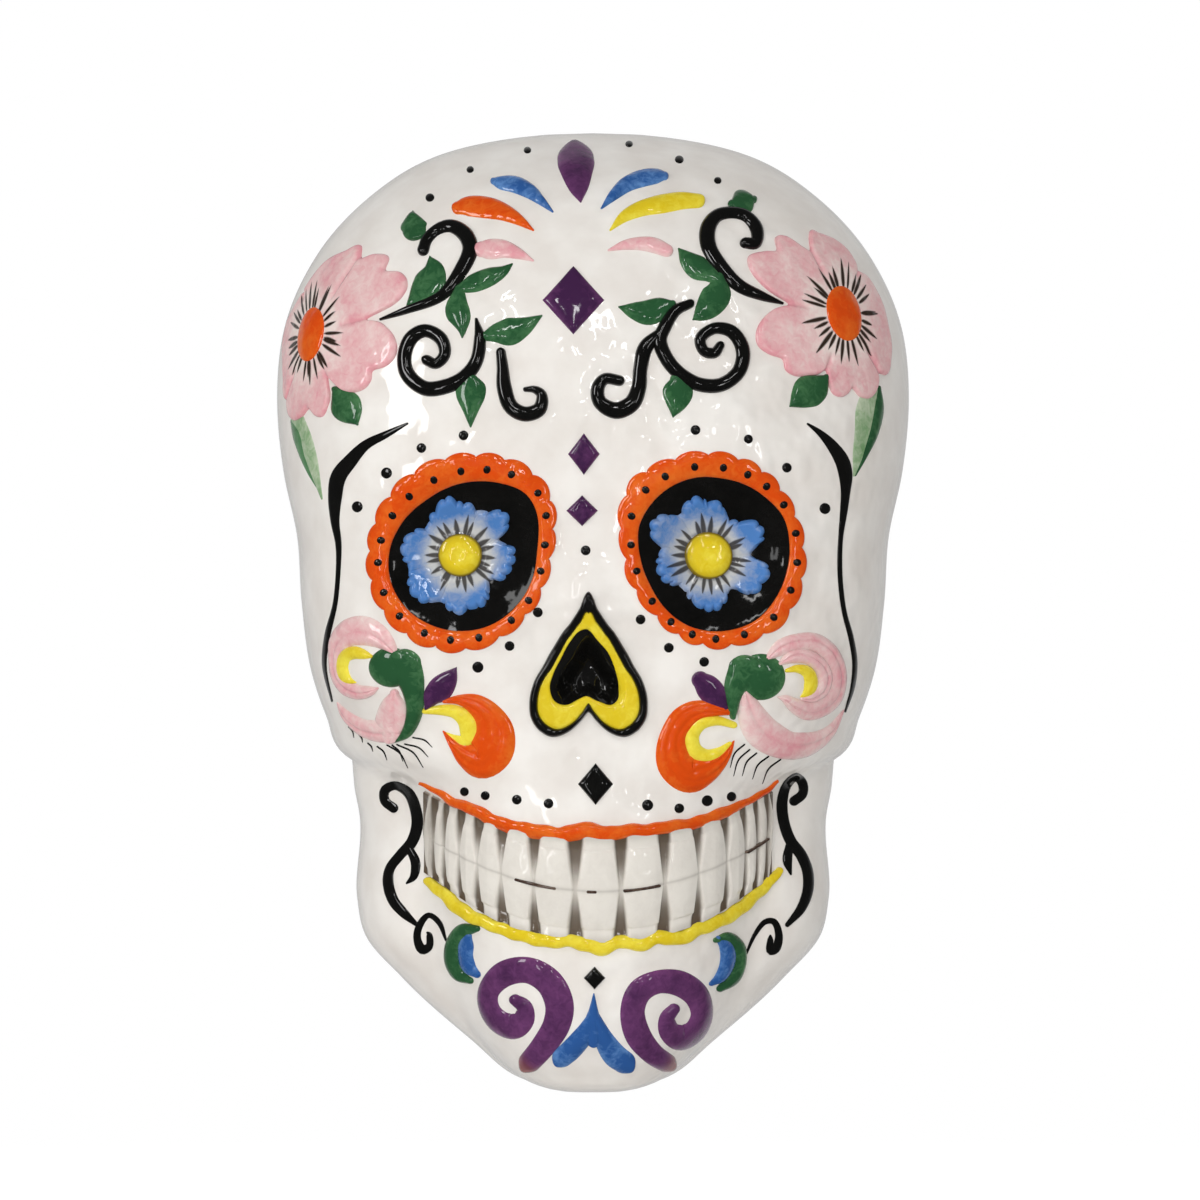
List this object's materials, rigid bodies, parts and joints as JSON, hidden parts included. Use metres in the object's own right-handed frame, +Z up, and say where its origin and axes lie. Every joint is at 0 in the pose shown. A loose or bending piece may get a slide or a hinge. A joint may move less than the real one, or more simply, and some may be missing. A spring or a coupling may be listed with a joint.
{
  "type": "sugar skull wall mask",
  "caption": "Open-backed glazed ceramic skull mask with raised painted flowers, scrolls, leaves and teeth, hung on a nail through a clay web behind the crown.",
  "frame": {"origin": "on the wall plane, at the top of the nail hole in the web behind the crown, where the nail bears", "axes": "+Z up to the crown, the face looks along -Y, +Y into the wall, +X to the viewer's right"},
  "size_m": [0.185, 0.0804, 0.28],
  "materials": {
    "white_glaze": "clear gloss glaze over white earthenware",
    "bare_clay": "bare fired earthenware",
    "orange_glaze": "underglaze colour under clear gloss glaze",
    "yellow_glaze": "underglaze colour under clear gloss glaze",
    "purple_glaze": "underglaze colour under clear gloss glaze",
    "green_glaze": "underglaze colour under clear gloss glaze",
    "blue_glaze": "underglaze colour under clear gloss glaze",
    "pale_blue_glaze": "underglaze colour under clear gloss glaze",
    "pink_glaze": "underglaze colour under clear gloss glaze",
    "black_glaze": "underglaze colour under clear gloss glaze"
  },
  "bodies": {
    "root": {"skull_shell": "white_glaze", "hanging_web": "bare_clay", "vine_left": "black_glaze", "scroll_left": "black_glaze", "hook_left": "black_glaze", "vine_right": "black_glaze", "scroll_right": "black_glaze", "bud_left": "green_glaze", "leaf_left_upper": "green_glaze", "leaf_pair_left": "green_glaze", "leaf_left_inner": "green_glaze", "leaf_left_lower": "green_glaze", "leaf_left_temple": "green_glaze", "bud_right": "green_glaze", "leaf_pair_right": "green_glaze", "leaf_right_inner": "green_glaze", "leaf_right_lower": "green_glaze", "leaf_right_temple": "green_glaze", "crown_drop_purple": "purple_glaze", "crown_drop_blue_left": "blue_glaze", "crown_drop_blue_right": "blue_glaze", "crown_drop_orange": "orange_glaze", "crown_drop_yellow": "yellow_glaze", "crown_drop_pink_left": "pink_glaze", "crown_drop_pink_right": "pink_glaze", "brow_diamond_large": "purple_glaze", "brow_diamond_upper": "purple_glaze", "brow_diamond_lower": "purple_glaze", "temple_flower_heart_left": "orange_glaze", "temple_flower_left": "pink_glaze", "temple_flower_heart_right": "orange_glaze", "temple_flower_right": "pink_glaze", "eye_ring_left": "orange_glaze", "eye_flower_heart_left": "yellow_glaze", "eye_flower_left": "pale_blue_glaze", "eye_ring_right": "orange_glaze", "eye_flower_heart_right": "yellow_glaze", "eye_flower_right": "pale_blue_glaze", "nose_coil": "black_glaze", "nose_band": "yellow_glaze", "cheek_comma_left": "green_glaze", "cheek_rose_left": "pink_glaze", "cheek_leaf_left": "purple_glaze", "cheek_paisley_left": "orange_glaze", "cheek_comma_right": "green_glaze", "cheek_rose_right": "pink_glaze", "cheek_leaf_right": "purple_glaze", "cheek_paisley_right": "orange_glaze", "lip_upper": "orange_glaze", "lip_lower": "yellow_glaze", "lip_diamond": "black_glaze", "teeth_upper": "white_glaze", "teeth_lower": "white_glaze", "chin_fleur": "blue_glaze", "chin_spiral_left": "purple_glaze", "chin_spiral_right": "purple_glaze", "chin_crescent_left": "green_glaze", "chin_crescent_right": "green_glaze", "chin_diamond": "black_glaze"}
  },
  "joints": []
}
